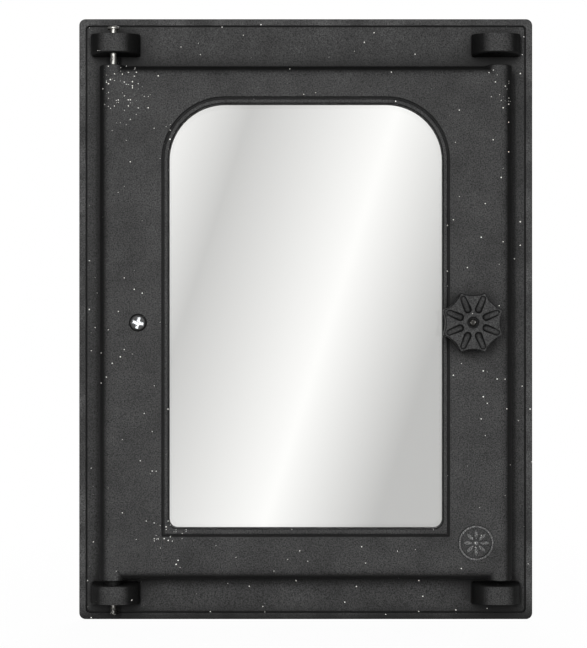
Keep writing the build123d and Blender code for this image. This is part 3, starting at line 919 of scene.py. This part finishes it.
class STOVEDOOR_OT_set_lower_pin(Operator):
    """Set the lower hinge pin, whose rounded tail shows below the left lower lug"""

    bl_idname = "stove_door.set_lower_pin"
    bl_label = "Set lower pin"

    def execute(self, context):
        settings = context.scene.stove_door.small
        low, high = (Vector(corner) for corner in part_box("hinge_pin_bottom"))
        axis = middle("hinge_pin_bottom")
        foot = -lug_end - settings.pin_tail
        centre = (axis.x, axis.y, (high.z + foot) / 2)
        pin = rod((high.x - low.x) / 2, high.z - foot, centre, (0, 0, 0), 48)
        round_off(pin, settings.pin_round, segments=5)
        metal = bpy.data.materials["turned_steel_dark_with_oxide"]
        set_piece(pin, "lower_hinge_pin", "leaf", "bright_steel", metal, "hinge_pin_bottom")
        return {"FINISHED"}


class STOVEDOOR_OT_glaze(Operator):
    """Make the pane clear glass"""

    bl_idname = "stove_door.glaze"
    bl_label = "Glaze"

    def execute(self, context):
        dress("glass_pane", stove_glass(context.scene.stove_door.glass))
        return {"FINISHED"}


class STOVEDOOR_OT_lay_tape(Operator):
    """Lay the woven tape between the leaf and the glass"""

    bl_idname = "stove_door.lay_tape"
    bl_label = "Lay tape"

    def execute(self, context):
        settings = context.scene.stove_door.seals
        low, high = (Vector(corner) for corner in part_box("glass_gasket"))
        centre = middle("glass_gasket")
        tape = block(centre, high - low)
        round_off(tape, settings.tape_edge, segments=3)
        lap = 2 * settings.tape_width
        through = 20 * MM
        opening = block(centre, (high.x - low.x - lap, through, high.z - low.z - lap))
        bpy.ops.object.mode_set(mode="EDIT")
        bpy.ops.mesh.select_all(action="DESELECT")
        bpy.ops.object.mode_set(mode="OBJECT")
        for edge in opening.data.edges:
            ends = [opening.data.vertices[index].co for index in edge.vertices]
            upper = all(end.z > centre.z for end in ends)
            edge.select = upper and abs(ends[0].y - ends[1].y) > MM
        bpy.ops.object.mode_set(mode="EDIT")
        bpy.ops.mesh.bevel(offset=settings.tape_arch, segments=24, affect="EDGES")
        bpy.ops.object.mode_set(mode="OBJECT")
        boolean(tape, opening)
        material = woven_tape(settings)
        set_piece(tape, "woven_glass_tape", "leaf", "gasket_tape", material, "glass_gasket")
        return {"FINISHED"}


class STOVEDOOR_OT_lay_rope(Operator):
    """Lay the knitted rope in its groove round the back of the leaf"""

    bl_idname = "stove_door.lay_rope"
    bl_label = "Lay rope"

    def execute(self, context):
        settings = context.scene.stove_door.seals
        low, high = (Vector(corner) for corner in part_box("door_seal"))
        thick = high.y - low.y
        bpy.ops.object.select_all(action="DESELECT")
        bpy.ops.mesh.primitive_plane_add(
            size=1, location=middle("door_seal"), rotation=(math.pi / 2, 0, 0)
        )
        bpy.context.object.scale = (high.x - low.x - thick, high.z - low.z - thick, 1)
        own_mesh()
        bpy.ops.object.mode_set(mode="EDIT")
        bpy.ops.mesh.select_all(action="SELECT")
        bpy.ops.mesh.bevel(offset=settings.rope_corner, segments=8, affect="VERTICES")
        bpy.ops.mesh.delete(type="ONLY_FACE")
        bpy.ops.object.mode_set(mode="OBJECT")
        bpy.ops.object.convert(target="CURVE")
        rope = bpy.context.object
        rope.data.bevel_depth = thick / 2
        rope.data.bevel_resolution = 6
        bpy.ops.object.convert(target="MESH")
        rope = bpy.context.object
        material = knitted_rope(settings)
        set_piece(rope, "knitted_rope_seal", "leaf", "seal_rope", material, "door_seal")
        return {"FINISHED"}


# Stage


def lay_floor(settings):
    """A pale floor that starts in front of the door, where the pane doesn't mirror its edge.

    The lens and the glass see it white, and gloss sees it white only behind the door.
    """
    front, back, width = -0.45, 3.65, 8
    bpy.ops.object.select_all(action="DESELECT")
    bpy.ops.mesh.primitive_plane_add(
        size=1, location=(0, (front + back) / 2, cad_box[0][2] - 0.3 * MM)
    )
    bpy.context.object.scale = (width, back - front, 1)
    floor = own_mesh()
    floor.name = "studio_floor"
    material, tree = new_material("pale_studio_floor")
    place = add_node(tree, "ShaderNodeTexCoord").outputs["Object"]
    matt = add_node(tree, "ShaderNodeBsdfDiffuse", {"Color": settings.floor[:]})
    white = add_node(tree, "ShaderNodeEmission", {"Strength": 1.0})
    away = add_node(tree, "ShaderNodeVectorMath", (place,), operation="LENGTH")
    glow = add_node(tree, "ShaderNodeMapRange", (away, 0.1, 0.5, 0.96, 1.0))
    depth = add_node(tree, "ShaderNodeSeparateXYZ", (place,)).outputs["Y"]
    behind = add_node(tree, "ShaderNodeMapRange", (depth, 0.3, 1.2))
    seen = add_node(
        tree, "ShaderNodeMath", (white_rays(tree, behind), glow), operation="MULTIPLY"
    )
    cover = add_node(tree, "ShaderNodeMixShader", (seen, matt, white))
    add_node(tree, "ShaderNodeOutputMaterial", {"Surface": cover})
    floor.data.materials.append(material)


def white_rays(tree, gloss_share):
    """1 for rays from the lens and through glass, and the given share for rays off gloss."""
    ray = add_node(tree, "ShaderNodeLightPath")
    plain = add_node(
        tree,
        "ShaderNodeMath",
        (ray.outputs["Is Camera Ray"], ray.outputs["Is Transmission Ray"]),
        operation="MAXIMUM",
    )
    gloss = add_node(
        tree, "ShaderNodeMath", (ray.outputs["Is Glossy Ray"], gloss_share), operation="MULTIPLY"
    )
    return add_node(tree, "ShaderNodeMath", (plain, gloss), operation="MAXIMUM")


def hang_card(settings):
    """A glowing card behind the door that only the glass shows: its slanting bands are a painted
    reflection streak for the pane.
    """
    bpy.ops.object.select_all(action="DESELECT")
    bpy.ops.mesh.primitive_plane_add(
        size=1,
        location=(0, settings.card_back, cad_box[0][2] + settings.card_size / 2),
        rotation=(math.pi / 2, 0, 0),
    )
    bpy.context.object.scale = (settings.card_size, settings.card_size, 1)
    card = own_mesh()
    card.name = "glass_card"
    for kind in ("camera", "diffuse", "glossy", "volume_scatter", "shadow"):
        setattr(card, f"visible_{kind}", False)
    material, tree = new_material("painted_reflection_card")
    place = add_node(tree, "ShaderNodeTexCoord").outputs["Object"]
    parts = add_node(tree, "ShaderNodeSeparateXYZ", (place,))
    slant = add_node(
        tree,
        "ShaderNodeMath",
        (parts.outputs["Z"], -settings.band_lean, parts.outputs["X"]),
        operation="MULTIPLY_ADD",
    )
    # right of the band, left of it, and light again further left
    centre, reach = settings.band_middle, settings.band_reach
    shade = settings.card_light[:]
    for start, end, tint in (
        (centre, centre + 0.76 * reach, settings.card_right),
        (centre, centre - reach, settings.card_left),
        (centre - reach, centre - 1.64 * reach, settings.card_light),
    ):
        share = add_node(tree, "ShaderNodeMapRange", (slant, start, end))
        shade = add_node(
            tree, "ShaderNodeMix", {0: share, 6: shade, 7: tint[:]}, data_type="RGBA"
        )
    glow = add_node(tree, "ShaderNodeEmission", {"Color": shade, "Strength": 1.07})
    add_node(tree, "ShaderNodeOutputMaterial", {"Surface": glow})
    card.data.materials.append(material)


def hang_lamps(settings):
    """Two tall softboxes beside the lens, clear of what the pane mirrors, and one behind."""
    for name, place, width, height, power in (
        ("left_softbox", (-0.32, -1.45, 0.3), 0.14, 0.7, 0.66),
        ("right_softbox", (0.31, -1.45, 0.2), 0.14, 0.7, 0.36),
        ("back_softbox", (0.3, 2.0, 1.2), 1.0, 1.0, 2),
    ):
        bpy.ops.object.light_add(type="AREA", location=place)
        lamp = bpy.context.object
        lamp.name = name
        lamp.data.shape = "RECTANGLE"
        lamp.data.size = width
        lamp.data.size_y = height
        lamp.data.energy = settings.softbox * power
        lamp.rotation_euler = (-Vector(place)).to_track_quat("-Z", "Y").to_euler()


def light_world(context):
    """White to the lens and through glass, and to gloss that looks behind the door."""
    world = bpy.data.worlds.new("white_studio")
    context.scene.world = world
    world.use_nodes = True
    tree = world.node_tree
    tree.nodes.clear()
    generated = add_node(tree, "ShaderNodeTexCoord").outputs["Generated"]
    toward = add_node(tree, "ShaderNodeSeparateXYZ", (generated,)).outputs["Y"]
    behind = add_node(tree, "ShaderNodeMapRange", (toward, 0.8, 0.97))
    room = 0.06
    strength = add_node(
        tree, "ShaderNodeMapRange", (white_rays(tree, behind), 0.0, 1.0, room, 1.0)
    )
    background = add_node(
        tree, "ShaderNodeBackground", {"Color": (1, 1, 1, 1), "Strength": strength}
    )
    add_node(tree, "ShaderNodeOutputWorld", {"Surface": background})


def place_camera(context, settings):
    """A lens where the photograph was taken from, shifted to its framing."""
    bpy.ops.object.camera_add(
        location=(0, -settings.camera_distance, settings.camera_height),
        rotation=(math.pi / 2, 0, 0),
    )
    camera = bpy.context.object
    camera.name = "photo_camera"
    camera.data.lens = 80
    camera.data.sensor_width = 36
    camera.data.shift_x = -0.0189
    camera.data.shift_y = 0.0087
    camera.data.clip_start = 0.01
    context.scene.camera = camera


class STOVEDOOR_OT_stage(Operator):
    """Set up the floor, the light and the camera"""

    bl_idname = "stove_door.stage"
    bl_label = "Stage"

    def execute(self, context):
        settings = context.scene.stove_door
        lay_floor(settings.stage)
        hang_card(settings.glass)
        hang_lamps(settings.stage)
        light_world(context)
        place_camera(context, settings.stage)
        context.scene.view_settings.view_transform = "Standard"
        return {"FINISHED"}


class STOVEDOOR_PT_panel(Panel):
    """Lists the steps that dress the door"""

    bl_idname = "STOVEDOOR_PT_panel"
    bl_label = "Stove Door"
    bl_space_type = "VIEW_3D"
    bl_region_type = "UI"
    bl_category = "Stove Door"

    def draw(self, context):
        for step in steps:
            self.layout.operator(step.bl_idname)
        settings = context.scene.stove_door
        for group_name in StoveDoorSettings.__annotations__:
            group = getattr(settings, group_name)
            box = self.layout.box()
            for name in type(group).__annotations__:
                box.prop(group, name)


groups = (
    StovePaintSettings,
    StoveMetalSettings,
    StoveGlassSettings,
    StoveKnobSettings,
    StoveSmallPartSettings,
    StoveSealSettings,
    StoveStageSettings,
    StoveDoorSettings,
)
steps = (
    STOVEDOOR_OT_paint_castings,
    STOVEDOOR_OT_finish_metals,
    STOVEDOOR_OT_cast_knob,
    STOVEDOOR_OT_lean_lugs,
    STOVEDOOR_OT_drive_plug_screw,
    STOVEDOOR_OT_set_lower_pin,
    STOVEDOOR_OT_glaze,
    STOVEDOOR_OT_lay_tape,
    STOVEDOOR_OT_lay_rope,
    STOVEDOOR_OT_stage,
)


def register():
    for cls in (*groups, *steps, STOVEDOOR_PT_panel):
        bpy.utils.register_class(cls)
    bpy.types.Scene.stove_door = PointerProperty(type=StoveDoorSettings)


def unregister():
    del bpy.types.Scene.stove_door
    for cls in reversed((*groups, *steps, STOVEDOOR_PT_panel)):
        bpy.utils.unregister_class(cls)


def main():
    register()
    bpy.ops.stove_door.paint_castings()
    bpy.ops.stove_door.finish_metals()
    bpy.ops.stove_door.cast_knob()
    bpy.ops.stove_door.lean_lugs()
    bpy.ops.stove_door.drive_plug_screw()
    bpy.ops.stove_door.set_lower_pin()
    bpy.ops.stove_door.glaze()
    bpy.ops.stove_door.lay_tape()
    bpy.ops.stove_door.lay_rope()
    bpy.ops.stove_door.stage()


if __name__ == "__main__":
    main()
